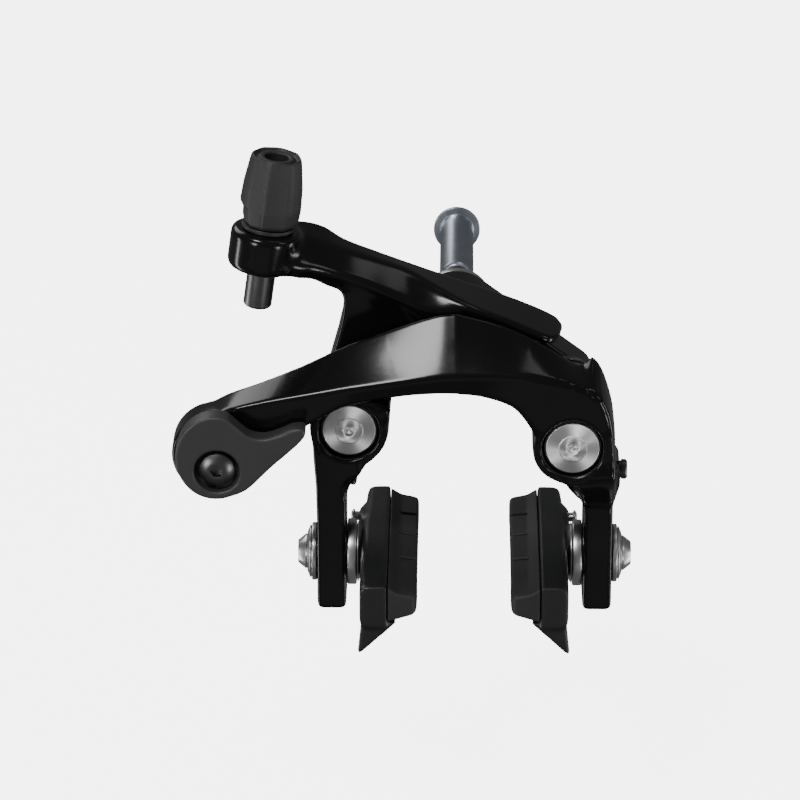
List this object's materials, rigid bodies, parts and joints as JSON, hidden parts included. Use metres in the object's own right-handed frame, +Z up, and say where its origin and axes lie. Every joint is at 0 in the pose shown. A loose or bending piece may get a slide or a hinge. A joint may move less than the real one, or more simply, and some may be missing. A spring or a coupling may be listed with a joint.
{
  "type": "rim brake caliper",
  "caption": "Dual-pivot road rim brake caliper with arched arms, cable adjuster, quick-release lever, adjustable cartridge shoes and a recessed mounting stud.",
  "frame": {"origin": "centre of the mounting stud on the rear face of the seat washer, where the caliper seats against the fork", "axes": "+X right seen from the front of the brake, +Y back along the stud into the fork, +Z up"},
  "size_m": [0.1036, 0.109, 0.1105],
  "materials": {
    "gloss_black": "deep gloss black paint on forged aluminium",
    "matte_grey": "satin dark grey paint",
    "machined_aluminium": "turned face with fine concentric tool marks",
    "zinc_steel": "bright zinc plating, slightly satin",
    "sleeve_steel": "smooth bluish steel sleeve with a bright flange",
    "black_steel": "black oxide, semi gloss",
    "bronze": "oiled bearing bronze",
    "pad_rubber": "matte moulded rubber",
    "knob_rubber": "matte rubberised grip",
    "black_nylon": "matte moulded nylon"
  },
  "bodies": {
    "root": {"bracket": "gloss_black", "mounting_stud": "zinc_steel", "mounting_nut": "sleeve_steel", "seat_washer": "zinc_steel", "serrated_washer": "zinc_steel", "left_pivot_bolt": "machined_aluminium", "right_pivot_bolt": "machined_aluminium", "left_thrust_washer": "zinc_steel", "right_thrust_washer": "zinc_steel", "spring_holder": "black_nylon", "left_return_spring": "zinc_steel", "right_return_spring": "zinc_steel"},
    "rear_arm": {"rear_arm": "gloss_black", "left_pivot_bush": "bronze", "adjuster_ring": "black_nylon"},
    "front_arm": {"front_arm": "gloss_black", "right_pivot_bush": "bronze", "roller_pin": "zinc_steel", "lever_washer": "zinc_steel"},
    "link_roller": {"link_roller": "bronze"},
    "centering_screw": {"centering_screw": "black_steel"},
    "adjuster_knob": {"adjuster_knob": "knob_rubber"},
    "adjuster_barrel": {"adjuster_barrel": "black_steel"},
    "release_lever": {"release_lever": "matte_grey", "release_shaft": "black_steel", "cable_clamp_bolt": "black_steel", "cable_clamp_plate": "zinc_steel", "cable_clamp_nut": "zinc_steel"},
    "left_shoe_bolt": {"left_pad_bolt": "zinc_steel", "left_outer_washer": "zinc_steel", "left_outer_cup_washer": "zinc_steel", "left_inner_washer": "zinc_steel", "left_inner_cone_washer": "zinc_steel"},
    "left_shoe": {"left_pad_holder": "gloss_black", "left_brake_pad": "pad_rubber", "left_pad_screw": "zinc_steel"},
    "right_shoe_bolt": {"right_pad_bolt": "zinc_steel", "right_outer_washer": "zinc_steel", "right_outer_cup_washer": "zinc_steel", "right_inner_washer": "zinc_steel", "right_inner_cone_washer": "zinc_steel"},
    "right_shoe": {"right_pad_holder": "gloss_black", "right_brake_pad": "pad_rubber", "right_pad_screw": "zinc_steel"}
  },
  "joints": [
    {"name": "rear_arm_pivot", "type": "hinge", "parent": "root", "child": "rear_arm", "pos_m": [-0.024, -0.03, -0.015], "axis": [0, -1, 0], "range_deg": [0, 8], "stiffness_Nm_per_rad": 0.8, "springref_deg": -17.19, "deforming": ["left_return_spring"]},
    {"name": "front_arm_pivot", "type": "hinge", "parent": "root", "child": "front_arm", "pos_m": [0.0261, -0.03, -0.0147], "axis": [0, 1, 0], "range_deg": [0, 8], "stiffness_Nm_per_rad": 0.8, "springref_deg": -17.19, "deforming": ["right_return_spring"]},
    {"name": "release_lever_turn", "type": "hinge", "parent": "front_arm", "child": "release_lever", "pos_m": [-0.0534, -0.05, -0.0148], "axis": [0, 1, 0], "range_deg": [0, 85]},
    {"name": "adjuster_barrel_slide", "type": "slide", "parent": "rear_arm", "child": "adjuster_barrel", "axis": [0.136, 0, 0.9907], "range_m": [0, 0.0032]},
    {"name": "adjuster_knob_turn", "type": "hinge", "parent": "rear_arm", "child": "adjuster_knob", "pos_m": [-0.04079, -0.036, 0.04084], "axis": [0.136, 0, 0.9907], "range_deg": [0, 1440]},
    {"name": "link_roller_spin", "type": "hinge", "parent": "front_arm", "child": "link_roller", "pos_m": [0.00105, -0.035, 0.0064], "axis": [0, 1, 0], "continuous": true},
    {"name": "centering_screw_turn", "type": "hinge", "parent": "front_arm", "child": "centering_screw", "pos_m": [0.034, -0.0355, -0.0269], "axis": [1, 0, 0], "range_deg": [-360, 360]},
    {"name": "left_shoe_height", "type": "slide", "parent": "rear_arm", "child": "left_shoe_bolt", "axis": [0, 0, 1], "range_m": [-0.0035, 0.005]},
    {"name": "left_shoe_tilt", "type": "hinge", "parent": "left_shoe_bolt", "child": "left_shoe", "pos_m": [-0.015, -0.0355, -0.048], "axis": [1, 0, 0], "range_deg": [-12, 12]},
    {"name": "right_shoe_height", "type": "slide", "parent": "front_arm", "child": "right_shoe_bolt", "axis": [0, 0, 1], "range_m": [-0.0035, 0.005]},
    {"name": "right_shoe_tilt", "type": "hinge", "parent": "right_shoe_bolt", "child": "right_shoe", "pos_m": [0.019, -0.0355, -0.048], "axis": [1, 0, 0], "range_deg": [-12, 12]}
  ],
  "couplings": [
    {"joint": "front_arm_pivot", "follows": "rear_arm_pivot", "ratio": 1},
    {"joint": "adjuster_knob_turn", "follows": "adjuster_barrel_slide", "rad_per_m": 7853.9}
  ]
}
